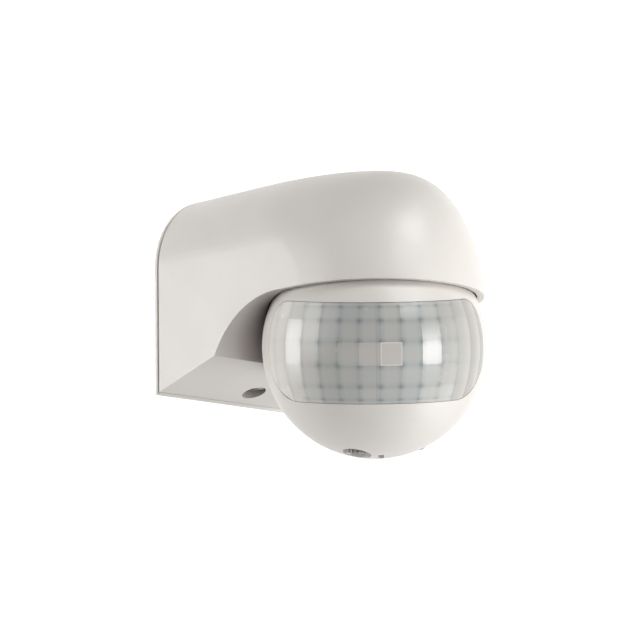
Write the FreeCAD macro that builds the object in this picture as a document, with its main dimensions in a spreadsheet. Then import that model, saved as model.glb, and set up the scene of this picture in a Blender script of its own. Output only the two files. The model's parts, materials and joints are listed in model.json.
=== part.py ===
import FreeCAD, Part
import math
import os
import Sketcher

# Wall mounted motion sensor with a ball head.
#
# Frame: millimetres, +Z up. The origin is the centre of the plate's back face, which lies
# on the wall. The sensor stands out from the wall along -Y.
#
# Every piece of the head is drawn about the centre of the ball, looking along -Y, and its
# Placement then turns and tilts it into the pose that the sensor is set to.

Vector = FreeCAD.Vector
doc = FreeCAD.newDocument("motion_sensor")

# ---------------------------------------------------------------- driving dimensions

DIMENSIONS = {
    # wall plate and arm
    "plate_height": 66.0,
    "half_width": 34.5,
    "arch_radius": 25.4,
    "plate_thickness": 3.6,
    "plate_edge": 1.6,
    "plate_bevel": 0.7,
    "cover_gap": 0.15,
    "cover_wall": 2.2,
    "rim_rib": 1.6,
    "rim_rib_height": 2.4,
    "wall_slot_spread": 22.0,
    "wall_slot_radius": 2.3,
    "wall_slot_travel": 4.0,
    "cable_hole_radius": 7.0,
    "cable_hole_rise": 8.0,
    "cable_bore_radius": 3.6,
    # underside of the arm
    "floor_start_out": 3.1,
    "floor_start_rise": 1.2,
    "floor_slope": 17.85,
    "scoop_radius": 31.0,
    "scoop_setback": 8.5,
    "cover_screw_out": 9.1,
    "cover_screw_recess": 3.85,
    "cover_screw_shank": 1.75,
    "cover_screw_seat": 6.6,
    "cover_screw_length": 8.2,
    "cover_screw_head": 3.2,
    "cover_screw_head_height": 2.2,
    "screw_block_half": 5.0,
    "screw_block_rise": 6.2,
    "screw_block_out": 10.4,
    "pilot_depth": 5.7,
    "board_slot": 0.1,
    # hood
    "ball_reach": 63.3,
    "ball_drop": 22.0,
    "rim_rise": 14.8,
    "front_lean": 1.85,
    "front_handle": 37.0,
    "crown_handle": 26.2,
    "crown_back": 7.7,
    "crown_stretch": 1.47,
    # ball head
    "ball_radius": 35.0,
    "ball_wall": 2.2,
    "ball_clearance": 0.45,
    "seam_tilt": 35.0,
    "rest_pan": -44.0,
    "rest_tilt": 14.0,
    "tilt_travel": 30.0,
    # lens
    "lens_skin": 1.0,
    "lens_fit": 0.1,
    "lens_latitude": 26.1,
    "lens_longitude": 71.0,
    "lens_flange": 2.5,
    "lens_top_corner": 6.5,
    "lens_bottom_corner": 11.0,
    # swivel
    "stem_radius": 6.0,
    "stem_bore": 3.6,
    "stem_top": 48.4,
    "shaft_gap": 0.08,
    "rub_gap": 0.3,
    "cup_radius": 14.0,
    "cup_wall": 2.0,
    "web_bottom": 38.0,
    "web_top": 41.0,
    "web_radius": 21.8,
    "hub_radius": 9.0,
    "hub_top": 42.4,
    "boss_circle": 18.5,
    "stop_inner": 9.7,
    "stop_outer": 13.0,
    "stop_top": 44.4,
    # adjusters
    "adjuster_circle": 13.0,
    "adjuster_turn": -28.0,
    "adjuster_half": 4.2,
    "recess_radius": 4.4,
    "recess_floor": 28.8,
    "recess_wall": 1.3,
    "knob_radius": 2.65,
    "knob_tip": 32.4,
    "knob_chamfer": 0.8,
    "knob_flute": 0.4,
    "knob_slot": 0.9,
    "knob_gap": 0.25,
    "spindle_radius": 1.82,
    "adjuster_body": 3.3,
    "bottom_screw_seat": 32.6,
    "drain_across": 1.3,
    "drain_near": 6.9,
    "drain_far": 11.5,
    "drain_half": 0.9,
    # boards
    "lead_radius": 1.1,
    "lead_top": 50.9,
    "board_thickness": 1.6,
    "sensor_board_back": 5.0,
    "adjuster_board_drop": 22.8,
    "power_board_out": 15.4,
}

sheet = doc.addObject("Spreadsheet::Sheet", "Dimensions")
for row, (alias, number) in enumerate(DIMENSIONS.items(), start=1):
    sheet.set(f"A{row}", alias)
    sheet.set(f"B{row}", str(number))
    sheet.setAlias(f"B{row}", alias)
doc.recompute()


class Size:
    """A length or an angle: the formula that binds it to the sheet, and its value now."""

    def __init__(self, text, value):
        self.text = text
        self.value = value

    def join(self, other, sign, value):
        return Size(f"({self.text} {sign} {as_size(other).text})", value)

    def __add__(self, other):
        return self.join(other, "+", self.value + as_size(other).value)

    def __sub__(self, other):
        return self.join(other, "-", self.value - as_size(other).value)

    def __mul__(self, other):
        return self.join(other, "*", self.value * as_size(other).value)

    def __truediv__(self, other):
        return self.join(other, "/", self.value / as_size(other).value)

    def __neg__(self):
        return Size(f"(-1 * {self.text})", -self.value)


def as_size(item):
    return item if isinstance(item, Size) else Size(f"({item:.9g})", float(item))


class Dimensions:
    """The sheet's cells by name, as sizes."""

    def __getattr__(self, alias):
        return Size(f"Dimensions.{alias}", float(sheet.get(alias)))


dim = Dimensions()


def root_of(size):
    return Size(f"sqrt({size.text})", math.sqrt(size.value))


# ---------------------------------------------------------------- solids from primitives


def bind(item, **sizes):
    for prop, size in sizes.items():
        item.setExpression(prop.replace("__", "."), as_size(size).text)
    return item


def at(item, x=0, y=0, z=0):
    return bind(item, Placement__Base__x=x, Placement__Base__y=y, Placement__Base__z=z)


def turned(item, axis, degrees):
    item.Placement.Rotation = FreeCAD.Rotation(Vector(*axis), degrees)
    return item


def primitive(kind, **sizes):
    return bind(doc.addObject("Part::" + kind), **sizes)


def ball(radius):
    return primitive("Sphere", Radius=radius)


def rod(radius, low, high, x=0, y=0):
    """An upright cylinder between two heights."""
    return at(primitive("Cylinder", Radius=radius, Height=as_size(high) - low), x, y, low)


def rod_out(radius, near, far, x=0, z=0):
    """A cylinder along Y, from near to far."""
    item = primitive("Cylinder", Radius=radius, Height=as_size(far) - near)
    return at(turned(item, (1, 0, 0), -90), x, near, z)


def block(x_low, x_high, y_low, y_high, z_low, z_high):
    item = primitive(
        "Box",
        Length=as_size(x_high) - x_low,
        Width=as_size(y_high) - y_low,
        Height=as_size(z_high) - z_low,
    )
    return at(item, x_low, y_low, z_low)


def sector(radius, low, high, first, sweep):
    """A slice of an upright cylinder, from the angle first, sweep degrees wide."""
    item = primitive("Cylinder", Radius=radius, Height=as_size(high) - low, Angle=sweep)
    return turned(at(item, 0, 0, low), (0, 0, 1), first)


def cut(base, *tools):
    item = doc.addObject("Part::Cut")
    item.Base = base
    item.Tool = tools[0] if len(tools) == 1 else fuse(*tools)
    return item


def fuse(*parts):
    item = doc.addObject("Part::MultiFuse")
    item.Shapes = list(parts)
    return item


def common(*parts):
    item = doc.addObject("Part::MultiCommon")
    item.Shapes = list(parts)
    return item


def group(*parts):
    item = doc.addObject("Part::Compound")
    item.Links = list(parts)
    return item


# ---------------------------------------------------------------- solids from sketches


def new_body():
    return doc.addObject("PartDesign::Body")


def new_sketch(body, role, offset=0):
    sketch = body.newObject("Sketcher::SketchObject")
    origin_plane = [part for part in body.Origin.OriginFeatures if part.Role == role][0]
    sketch.AttachmentSupport = [(origin_plane, "")]
    sketch.MapMode = "FlatFace"
    bind(sketch, AttachmentOffset__Base__z=offset)
    return sketch


def limit(sketch, kind, size, *refs):
    """Adds a constraint whose value is bound to the sheet."""
    index = sketch.addConstraint(Sketcher.Constraint(kind, *refs, size.value))
    name = f"{kind}_{index}"
    sketch.renameConstraint(index, name)
    sketch.setExpression(f"Constraints.{name}", size.text)


def pin(sketch, edge, end, x, y):
    """Fixes a point of an edge at x, y from the sketch's origin."""
    for kind, size, axis in (("DistanceX", as_size(x), -2), ("DistanceY", as_size(y), -1)):
        if abs(size.value) < 1e-9:
            sketch.addConstraint(Sketcher.Constraint("PointOnObject", edge, end, axis))
        else:
            limit(sketch, kind, size, -1, 1, edge, end)


def add_circle(sketch, x, y, radius):
    centre = Vector(as_size(x).value, as_size(y).value, 0)
    circle = Part.Circle(centre, Vector(0, 0, 1), as_size(radius).value)
    edge = sketch.addGeometry(circle, False)
    pin(sketch, edge, 3, x, y)
    limit(sketch, "Radius", as_size(radius), edge)


def arc_between(start, end, radius):
    """The short arc from start to end: anticlockwise if the radius is positive."""
    half = (end - start) * 0.5
    reach = math.sqrt(max(radius * radius - half.Length**2, 0.0))
    side = Vector(-half.y, half.x, 0).normalize() * math.copysign(reach, radius)
    centre = start + half + side
    first, last = (start, end) if radius > 0 else (end, start)
    angles = [math.atan2(p.y - centre.y, p.x - centre.x) for p in (first, last)]
    circle = Part.Circle(centre, Vector(0, 0, 1), abs(radius))
    return Part.ArcOfCircle(circle, *angles)


def add_outline(sketch, corners):
    """A closed outline. A corner is (x, y), or (x, y, radius) where an arc leaves it."""
    points = [Vector(as_size(c[0]).value, as_size(c[1]).value, 0) for c in corners]
    edges = []
    starts = []
    ends = []
    for index, corner in enumerate(corners):
        here = points[index]
        there = points[(index + 1) % len(corners)]
        if len(corner) == 2:
            edges.append(sketch.addGeometry(Part.LineSegment(here, there), False))
            starts.append(1)
            ends.append(2)
            continue
        radius = as_size(corner[2])
        edge = sketch.addGeometry(arc_between(here, there, radius.value), False)
        half_circle = (there - here).Length > 2 * abs(radius.value) - 1e-6
        if half_circle:
            limit(sketch, "DistanceX", as_size(corner[0]), -1, 1, edge, 3)
        else:
            limit(sketch, "Radius", radius if radius.value > 0 else -radius, edge)
        edges.append(edge)
        starts.append(1 if radius.value > 0 else 2)
        ends.append(2 if radius.value > 0 else 1)
    for index, corner in enumerate(corners):
        before = index - 1
        joint = (edges[before], ends[before], edges[index], starts[index])
        sketch.addConstraint(Sketcher.Constraint("Coincident", *joint))
        pin(sketch, edges[index], starts[index], corner[0], corner[1])


def rectangle(x_low, x_high, y_low, y_high):
    return [(x_low, y_low), (x_high, y_low), (x_high, y_high), (x_low, y_high)]


def pad(body, sketch, length, reverse=False):
    feature = body.newObject("PartDesign::Pad")
    feature.Profile = sketch
    feature.Reversed = reverse
    return bind(feature, Length=length)


def pocket(body, sketch, length, reverse=False):
    """Cuts the sketch out of the body, and makes sure that it did cut."""
    doc.recompute()
    before = body.Shape.Volume
    feature = body.newObject("PartDesign::Pocket")
    feature.Profile = sketch
    feature.Reversed = reverse
    bind(feature, Length=length)
    doc.recompute()
    if body.Shape.Volume > before - 1e-3:
        raise RuntimeError(f"{sketch.Name} cuts nothing")
    return feature


def revolve(body, sketch, angle=360, both_ways=False):
    feature = body.newObject("PartDesign::Revolution")
    feature.Profile = sketch
    feature.ReferenceAxis = (sketch, ["V_Axis"])
    feature.Midplane = both_ways
    return bind(feature, Angle=angle)


def round_edges(body, feature, radius, wanted):
    """Rounds the edges of the feature whose middle point satisfies wanted."""
    doc.recompute()
    names = []
    for number, edge in enumerate(feature.Shape.Edges, start=1):
        middle = edge.valueAt((edge.FirstParameter + edge.LastParameter) / 2)
        if wanted(edge, middle):
            names.append(f"Edge{number}")
    if not names:
        raise RuntimeError(f"no edge to round on {feature.Name}")
    fillet = body.newObject("PartDesign::Fillet")
    fillet.Base = (feature, names)
    return bind(fillet, Radius=radius)


def turned_part(corners):
    """A solid of revolution about Z. The corners are (radius, height)."""
    body = new_body()
    sketch = new_sketch(body, "XZ_Plane")
    add_outline(sketch, corners)
    revolve(body, sketch)
    return body


# ---------------------------------------------------------------- pieces and poses

ball_centre = Vector(0, -dim.ball_reach.value, -dim.ball_drop.value)
upright_axis = Vector(0, 0, 1)
cross_axis = Vector(1, 0, 0)

hood_pose = FreeCAD.Placement(ball_centre, FreeCAD.Rotation())
swivel_pose = FreeCAD.Placement(
    ball_centre, FreeCAD.Rotation(upright_axis, dim.rest_pan.value)
)
head_pose = swivel_pose * FreeCAD.Placement(
    Vector(), FreeCAD.Rotation(cross_axis, dim.rest_tilt.value)
)

pieces = []


def keep(label, item, pose=None):
    """Names a finished piece and puts it in its place."""
    item.Label = label
    if pose is not None:
        item.Placement = pose * item.Placement
    pieces.append(item)
    return item


# ---------------------------------------------------------------- wall plate


def arch(inset, bottom):
    """The plate's outline, with its two shoulders, set in by a distance."""
    side = dim.half_width - inset
    top = dim.plate_height / 2 - inset
    radius = dim.arch_radius - inset
    shoulder = dim.plate_height / 2 - dim.arch_radius
    flat = dim.half_width - dim.arch_radius
    return [
        (-side, bottom),
        (side, bottom),
        (side, shoulder, radius),
        (flat, top),
        (-flat, top, radius),
        (-side, shoulder),
    ]


def level_slot(x, z, radius, travel):
    """A slot that runs along X, with round ends."""
    left = x - travel / 2
    right = x + travel / 2
    return [
        (left, z - radius),
        (right, z - radius, radius),
        (right, z + radius),
        (left, z + radius, radius),
    ]


plate_bottom = -dim.plate_height / 2
cover_seat = plate_bottom + dim.cover_screw_seat
boss_floor = cover_seat + 2.7
clamp_spread = 8.0
block_half_width = 13.0
block_low = -15.5
block_high = -4.5
block_out = 14.0


def make_base_plate():
    body = new_body()
    outline = new_sketch(body, "XZ_Plane")
    add_outline(outline, arch(as_size(0), plate_bottom))
    plate = pad(body, outline, dim.plate_edge)
    doc.recompute()
    front = -dim.plate_edge.value
    rim_edges = []
    for number, edge in enumerate(plate.Shape.Edges, start=1):
        if all(abs(vertex.Point.y - front) < 1e-6 for vertex in edge.Vertexes):
            rim_edges.append(f"Edge{number}")
    bevel = body.newObject("PartDesign::Chamfer")
    bevel.Base = (plate, rim_edges)
    bind(bevel, Size=dim.plate_bevel)

    # the thicker middle, and the rib on it that centres the hood's open end
    outer = dim.cover_wall + 0.25
    middle = new_sketch(body, "XZ_Plane")
    add_outline(middle, arch(outer, boss_floor))
    pad(body, middle, dim.plate_thickness)
    rib = new_sketch(body, "XZ_Plane", dim.plate_thickness)
    add_outline(rib, arch(outer, boss_floor))
    add_outline(rib, arch(outer + dim.rim_rib, boss_floor + dim.rim_rib))
    pad(body, rib, dim.rim_rib_height)

    # the block that takes the screw of the hood
    screw_block = new_sketch(body, "XZ_Plane", dim.plate_thickness)
    half = dim.screw_block_half
    block_top = boss_floor + dim.screw_block_rise
    add_outline(screw_block, rectangle(-half, half, boss_floor, block_top))
    pad(body, screw_block, dim.screw_block_out)

    openings = new_sketch(body, "XZ_Plane")
    add_circle(openings, 0, dim.cable_hole_rise, dim.cable_hole_radius)
    for side in (-1, 1):
        middle = dim.wall_slot_spread * side
        radius = dim.wall_slot_radius
        add_outline(openings, level_slot(middle, as_size(0), radius, dim.wall_slot_travel))
    pocket(body, openings, dim.plate_thickness * 2, reverse=True)

    pilot = new_sketch(body, "XY_Plane", boss_floor)
    add_circle(pilot, 0, -dim.cover_screw_out, dim.cover_screw_shank)
    pocket(body, pilot, dim.pilot_depth, reverse=True)
    keep("base_plate", body)


def make_cable_grommet():
    """A rubber ring that grips the edge of the cable hole, with a flange on each side."""
    hole = dim.cable_hole_radius
    bore = dim.cable_bore_radius
    flange = hole + 1.6
    inner = dim.plate_thickness
    body = turned_part(
        [
            (bore, 0.4),
            (hole - 0.05, 0.4),
            (hole - 0.05, inner),
            (flange, inner),
            (flange, inner + 1.2),
            (bore + 1.4, inner + 3.0),
            (bore, inner + 3.0),
        ]
    )
    stand = FreeCAD.Placement(
        Vector(0, 0, dim.cable_hole_rise.value), FreeCAD.Rotation(cross_axis, 90)
    )
    keep("cable_grommet", body, stand)


def make_terminal_block():
    back = -dim.plate_thickness
    front = as_size(-block_out)
    base = block(-block_half_width, block_half_width, front, back, block_low, block_high)
    tools = []
    for way in (-1, 0, 1):
        x = way * clamp_spread
        low = (block_low + block_high) / 2 - 3.0
        tools.append(block(x - 2.6, x + 2.6, front + 2.0, back - 1.0, block_low - 1, low + 6.0))
        tools.append(rod_out(2.1, front - 1, front + 2.5, x, low + 3.0))
    keep("terminal_block", cut(base, *tools))

    clamps = []
    screws = []
    for way in (-1, 0, 1):
        x = way * clamp_spread
        middle = (block_low + block_high) / 2
        cage = block(x - 2.4, x + 2.4, front + 3.2, back - 1.2, middle - 3.0, middle + 2.8)
        mouth = block(x - 1.6, x + 1.6, front + 4.4, back - 2.0, middle - 4.0, middle + 4.0)
        thread = rod_out(1.1, front + 3.0, front + 5.0, x, middle)
        clamps.append(cut(cage, mouth, thread))
        head = rod_out(1.9, front + 0.9, front + 2.4, x, middle)
        shank = rod_out(1.05, front + 2.0, front + 6.5, x, middle)
        slot = block(x - 2.5, x + 2.5, front + 0.5, front + 1.5, middle - 0.3, middle + 0.3)
        screws.append(cut(fuse(head, shank), slot))
    keep("terminal_clamps", group(*clamps))
    keep("terminal_screws", group(*screws))


# ---------------------------------------------------------------- hood and arm


def bezier(points, fraction):
    """A point on the cubic curve through the four control points."""
    left = 1 - fraction
    weights = (left**3, 3 * left**2 * fraction, 3 * left * fraction**2, fraction**3)
    return tuple(sum(w * p[axis] for w, p in zip(weights, points)) for axis in (0, 1))


def front_profile(inset):
    """The hood's front edge from its rim to its crown: (reach, height above the rim)."""
    lean = math.radians(dim.front_lean.value)
    reach = dim.ball_radius.value - 0.5 - inset
    crown = dim.plate_height.value / 2 + dim.ball_drop.value - dim.rim_rise.value - inset
    handle = dim.front_handle.value - inset
    return (
        (reach, 0.0),
        (reach - handle * math.sin(lean), handle * math.cos(lean)),
        (dim.crown_handle.value - dim.crown_back.value, crown),
        (-dim.crown_back.value, crown),
    )


def hood_section(inset, fraction):
    """A level section of the hood: straight sides, and half an ellipse in front."""
    profile = front_profile(inset)
    reach, rise = bezier(profile, fraction)
    crown = profile[3][1]
    radius = dim.arch_radius.value - inset
    above_shoulder = max(0.0, rise - (crown - radius))
    side = dim.half_width.value - inset
    side -= radius - math.sqrt(max(radius**2 - above_shoulder**2, 0.0))
    depth = side * (1 + dim.crown_stretch.value * (rise / crown) ** 2)
    height = rise + dim.rim_rise.value - dim.ball_drop.value
    start = -dim.ball_reach.value - reach + depth
    behind_wall = 4.0
    left = Vector(-side, start, height)
    right = Vector(side, start, height)
    tip = Vector(0, start - depth, height)
    middle = Vector(0, start, height)
    ellipse = Part.Ellipse(tip, right, middle)
    front = Part.Arc(ellipse, ellipse.parameter(left), ellipse.parameter(right)).toShape()
    if (front.valueAt(front.FirstParameter) - left).Length > 1e-4:
        front.reverse()
    back_left = Vector(-side, behind_wall, height)
    back_right = Vector(side, behind_wall, height)
    edges = [
        Part.makeLine(back_left, left),
        front,
        Part.makeLine(right, back_right),
        Part.makeLine(back_right, back_left),
    ]
    return Part.Wire(edges)


rim_height = dim.rim_rise - dim.ball_drop
far = 200.0


def hood_form(inset):
    """The domed upper part of the arm and hood: a loft that starts below the rim, cut there."""
    steps = 30
    below = 4
    sections = [hood_section(inset, step / steps) for step in range(-below, steps + 1)]
    item = doc.addObject("Part::Feature")
    item.Shape = Part.makeLoft(sections, True)
    return cut(item, block(-far, far, -far, far, -far, rim_height))


def bracket_screw_places():
    """The three screws of the swivel bracket, round the ball's upright axis."""
    for angle in (30, 150, 270):
        turn = math.radians(angle)
        yield dim.boss_circle * math.cos(turn), dim.boss_circle * math.sin(turn)


scoop_centre_out = dim.ball_reach - dim.scoop_setback
slope = math.radians(dim.floor_slope.value)


def arm_form(inset):
    """The arm below the rim: a sloping floor, then a hollow that is an arc about X."""
    body = new_body()
    sketch = new_sketch(body, "YZ_Plane", inset - dim.half_width)
    radius = dim.scoop_radius + inset
    centre_height = rim_height - dim.scoop_radius
    start_height = plate_bottom + dim.floor_start_rise + inset / math.cos(slope)
    # where the sloping floor meets the arc
    fall = centre_height.value - start_height.value
    run = scoop_centre_out.value - dim.floor_start_out.value
    along = run * math.cos(slope) + fall * math.sin(slope)
    across = fall * math.cos(slope) - run * math.sin(slope)
    reach = along - math.sqrt(radius.value**2 - across**2)
    corner_out = dim.floor_start_out + reach * math.cos(slope)
    corner_height = start_height + reach * math.sin(slope)
    back_height = start_height - dim.floor_start_out * math.tan(slope)
    roof = rim_height + inset
    if inset.value > 0:
        roof = rim_height + inset * 2
    corners = [
        (as_size(0), back_height),
        (as_size(0), roof),
        (-scoop_centre_out, roof),
        (-scoop_centre_out, rim_height + inset, -radius),
        (-corner_out, corner_height),
    ]
    if inset.value == 0:
        corners.pop(2)
    add_outline(sketch, corners)
    pad(body, sketch, (dim.half_width - inset) * 2)
    return body


def make_hood_cover():
    wall = dim.cover_wall
    outer = fuse(hood_form(0.0), arm_form(as_size(0)))
    hollow_top = cut(
        hood_form(wall.value),
        block(-far, far, -scoop_centre_out, far, -far, rim_height + wall * 1.5),
    )
    hollow = fuse(hollow_top, arm_form(wall))
    shell = cut(outer, hollow)

    # bosses for the swivel bracket, under the roof
    solids = [shell]
    for x, y in bracket_screw_places():
        y = y - dim.ball_reach
        low = dim.web_top - dim.ball_drop
        boss = cut(rod(3.4, low, 40.0, x, y), rod(1.2, low - 1, low + 5.0, x, y))
        solids.append(boss)

    # ribs that hold the power board by its two sides
    rib = 1.4
    board_back = -dim.power_board_out + dim.board_slot
    board_front = -dim.power_board_out - dim.board_thickness - dim.board_slot
    for side in (-1, 1):
        for y in (board_back, board_front - rib):
            ends = sorted((side * 28.6, side * 33.5))
            solids.append(block(*ends, y, y + rib, -10.0, 7.0))

    # the boss that the cover screw pulls on
    screw_y = -dim.cover_screw_out
    solids.append(rod(5.4, plate_bottom, cover_seat + 2.5, 0, screw_y))
    ribbed = common(fuse(*solids), outer)
    keep(
        "hood_cover",
        cut(
            ribbed,
            at(ball(dim.ball_radius + dim.ball_clearance), 0, -dim.ball_reach, -dim.ball_drop),
            rod(dim.cover_screw_recess, -40.0, cover_seat, 0, screw_y),
            rod(dim.cover_screw_shank + 0.2, -40.0, -20.0, 0, screw_y),
            block(-far, far, -dim.plate_edge - dim.cover_gap, far, -far, far),
        ),
    )


def cross_screw(head_radius, head_height, shank_radius, length, slot_width=0.7):
    """A pan head screw with a cross recess. Its head's seat is at 0 and it points to +Z."""
    head = rod(head_radius, -head_height, 0)
    shank = rod(shank_radius, -0.2, length)
    reach = head_radius * 0.62
    half = slot_width / 2
    low = -head_height - 1
    high = low + 1 + head_height * 0.6
    return cut(
        fuse(head, shank),
        block(-reach, reach, -half, half, low, high),
        block(-half, half, -reach, reach, low, high),
    )


def make_cover_screw():
    head = (dim.cover_screw_head, dim.cover_screw_head_height)
    screw = cross_screw(*head, dim.cover_screw_shank - 0.05, dim.cover_screw_length, 0.9)
    seat = Vector(0, -dim.cover_screw_out.value, cover_seat.value)
    keep("cover_screw", screw, FreeCAD.Placement(seat, FreeCAD.Rotation()))


# ---------------------------------------------------------------- power board in the arm


def make_power_board():
    body = new_body()
    sketch = new_sketch(body, "XZ_Plane", dim.power_board_out)
    corners = [(-31.5, -10), (31.5, -10), (31.5, 6), (21, 24), (-21, 24), (-31.5, 6)]
    add_outline(sketch, corners)
    pad(body, sketch, dim.board_thickness)
    keep("power_board", body)

    face = -dim.power_board_out - dim.board_thickness
    relay_height = 15.3
    relay = new_body()
    outline = new_sketch(relay, "XZ_Plane", -face)
    add_outline(outline, rectangle(-19.0, -3.5, 2.5, 21.5))
    case = pad(relay, outline, relay_height)
    away = face.value - relay_height
    round_edges(relay, case, 0.8, lambda edge, middle: middle.y < away + 1e-3)
    keep("relay", relay)

    capacitor_height = 14.0
    capacitor = new_body()
    outline = new_sketch(capacitor, "XZ_Plane", -face)
    add_outline(outline, rectangle(0.5, 18.5, 12.5, 20.5))
    case = pad(capacitor, outline, capacitor_height)
    away = face.value - capacitor_height
    round_edges(capacitor, case, 1.0, lambda edge, middle: middle.y < away + 1e-3)
    keep("mains_capacitor", capacitor)

    groove = [(4.6, 1.0), (4.3, 1.5), (4.6, 2.0)]
    can = turned_part([(0, 0), (4.6, 0), *groove, (4.6, 11.4), (4.1, 12.0), (0, 12.0)])
    stand = FreeCAD.Placement(Vector(8.0, face.value, 5.0), FreeCAD.Rotation(cross_axis, 90))
    keep("smoothing_capacitor", can, stand)

    lower_cap = [(0, -8.0), (1.9, -8.0), (1.9, -5.6), (1.6, -5.6)]
    upper_cap = [(radius, -height) for radius, height in reversed(lower_cap)]
    tube = turned_part(lower_cap + upper_cap)
    middle = Vector(18.0, face.value - 2.1, -2.0)
    keep("fuse", tube, FreeCAD.Placement(middle, FreeCAD.Rotation()))


# ---------------------------------------------------------------- swivel in the hood


def make_swivel_bracket():
    """Screwed under the hood's roof: the bore for the stem, and a seat for the ball."""
    through_hub = (30.0, 60.0)
    seat = cut(
        rod(15.5, 25.0, dim.web_bottom + 0.5),
        rod(11.0, 24.0, dim.web_bottom + 1),
    )
    solid = fuse(
        rod(dim.web_radius, dim.web_bottom, dim.web_top),
        rod(dim.hub_radius, dim.web_bottom, dim.hub_top),
        cut(
            sector(dim.stop_outer, dim.web_top - 0.5, dim.stop_top, 40, 100),
            rod(dim.stop_inner, *through_hub),
        ),
        seat,
    )
    tools = [
        ball(dim.ball_radius + dim.rub_gap),
        rod(dim.stem_radius + dim.shaft_gap, *through_hub),
    ]
    screws = []
    for x, y in bracket_screw_places():
        tools.append(rod(1.4, *through_hub, x, y))
        screw = cross_screw(2.4, 1.6, 1.15, 7.4)
        screws.append(at(screw, x, y, dim.web_bottom))
    keep("swivel_bracket", cut(solid, *tools), hood_pose)
    keep("bracket_screws", group(*screws), hood_pose)


def make_swivel():
    """The hollow stem and the cup that holds the ball's crown up against the bracket."""
    cup_outer = dim.ball_radius - dim.ball_wall - dim.rub_gap
    cup = common(
        cut(ball(cup_outer), ball(cup_outer - dim.cup_wall)),
        rod(dim.cup_radius, 10.0, 40.0),
    )
    stem = rod(dim.stem_radius, cup_outer - 1.5, dim.stem_top)
    bore = rod(dim.stem_bore, 10.0, 60.0)
    keep("clamp_cup", cut(fuse(cup, stem), bore), swivel_pose)

    hole = dim.stem_radius + 0.05
    ring = fuse(
        rod(dim.hub_radius, dim.hub_top, dim.hub_top + 1.2),
        sector(dim.stop_outer - 0.2, dim.hub_top, dim.hub_top + 1.2, -129, 78),
    )
    keep("stop_washer", cut(ring, rod(hole, 30.0, 60.0)), swivel_pose)

    low = dim.hub_top + 1.2
    dish = turned_part(
        [(hole, low + 1.3), (8.6, low), (8.6, low + 0.6), (hole, low + 1.9)],
    )
    keep("spring_washer", dish, swivel_pose)

    nut = at(primitive("Prism", Circumradius=9.0, Height=3.0), 0, 0, low + 1.9)
    nut.Polygon = 6
    keep("stem_nut", cut(nut, rod(hole, 30.0, 60.0)), swivel_pose)


# ---------------------------------------------------------------- shells of the ball


def hemisphere(radius, pole_turn):
    """Half a ball on one side of the seam plane."""
    item = primitive("Sphere", Radius=radius)
    item.Angle1 = 0
    return turned(item, (1, 0, 0), pole_turn)


def adjuster_places():
    """The three adjusters, evenly round the bottom of the ball: (name, x, y)."""
    names = ("time_knob", "light_knob", "range_knob")
    for index, name in enumerate(names):
        angle = math.radians(dim.adjuster_turn.value + 120 * index)
        yield name, dim.adjuster_circle * math.sin(angle), -dim.adjuster_circle * math.cos(angle)


def lens_form(grow):
    """A thick wedge of ball whose sides follow the lens's outline, larger by grow."""
    turn = grow / dim.ball_radius * math.degrees(1)
    level = dim.ball_radius * math.sin(math.radians(dim.lens_latitude.value + turn.value))
    outer = as_size(40.0)
    inner = as_size(25.0)
    body = new_body()
    sketch = new_sketch(body, "YZ_Plane")
    far = -root_of(outer * outer - level * level)
    near = -root_of(inner * inner - level * level)
    add_outline(sketch, [(near, level), (far, level, outer), (far, -level), (near, -level, -inner)])
    solid = revolve(body, sketch, (dim.lens_longitude + turn) * 2, both_ways=True)
    corners = ((1, dim.lens_top_corner + grow), (-1, dim.lens_bottom_corner + grow))
    for side, radius in corners:
        solid = round_edges(
            body,
            solid,
            radius,
            lambda edge, middle: isinstance(edge.Curve, Part.Line) and middle.z * side > 8,
        )
    return body


def lens_patch(inner, outer, grow):
    """The part of the lens's form that lies between two radii."""
    return cut(common(lens_form(as_size(grow)), ball(outer)), ball(inner))


shell_screw_x = 14.0
shell_screw_z = -14.0


# heights between which a tool passes right through the bottom of the ball
through_bottom = (-40.0, -20.0)


def make_shells():
    outer = dim.ball_radius
    inner = dim.ball_radius - dim.ball_wall
    floor = -dim.recess_floor
    front_turn = 90 + dim.seam_tilt.value
    bosses = [rod(5.6, -34.0, -29.2)]
    tools = [lens_form(as_size(0)), *drain_slot()]
    tools.append(rod(2.9, -40.0, -dim.bottom_screw_seat))
    tools.append(rod(1.5, *through_bottom))
    for name, x, y in adjuster_places():
        bosses.append(rod(dim.recess_radius + 1.8, -34.0, floor + dim.recess_wall, x, y))
        tools.append(rod(dim.recess_radius, -40.0, floor, x, y))
        tools.append(rod(dim.knob_radius + dim.knob_gap, *through_bottom, x, y))
    skin = cut(hemisphere(outer, front_turn), ball(inner))
    inside = common(fuse(*bosses), ball(outer))
    keep("front_shell", cut(fuse(skin, inside), *tools), head_pose)

    rear_turn = front_turn - 180
    bosses = []
    tools = []
    for side in (-1, 1):
        x = side * shell_screw_x
        bosses.append(rod_out(4.2, 12.1, 32.0, x, shell_screw_z))
        tools.append(rod_out(3.0, 21.0, 40.0, x, shell_screw_z))
        tools.append(rod_out(1.5, 10.0, 40.0, x, shell_screw_z))
    skin = cut(hemisphere(outer, rear_turn), ball(inner))
    inside = common(fuse(*bosses), ball(outer))
    keep("rear_shell", cut(fuse(skin, inside), stem_slot(), *tools), head_pose)

    screws = []
    for side in (-1, 1):
        screw = cross_screw(2.6, 1.8, 1.2, 13.0)
        place = Vector(side * shell_screw_x, 21.0, shell_screw_z)
        screw.Placement = FreeCAD.Placement(place, FreeCAD.Rotation(cross_axis, 90))
        screws.append(screw)
    keep("shell_screws", group(*screws), head_pose)


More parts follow.
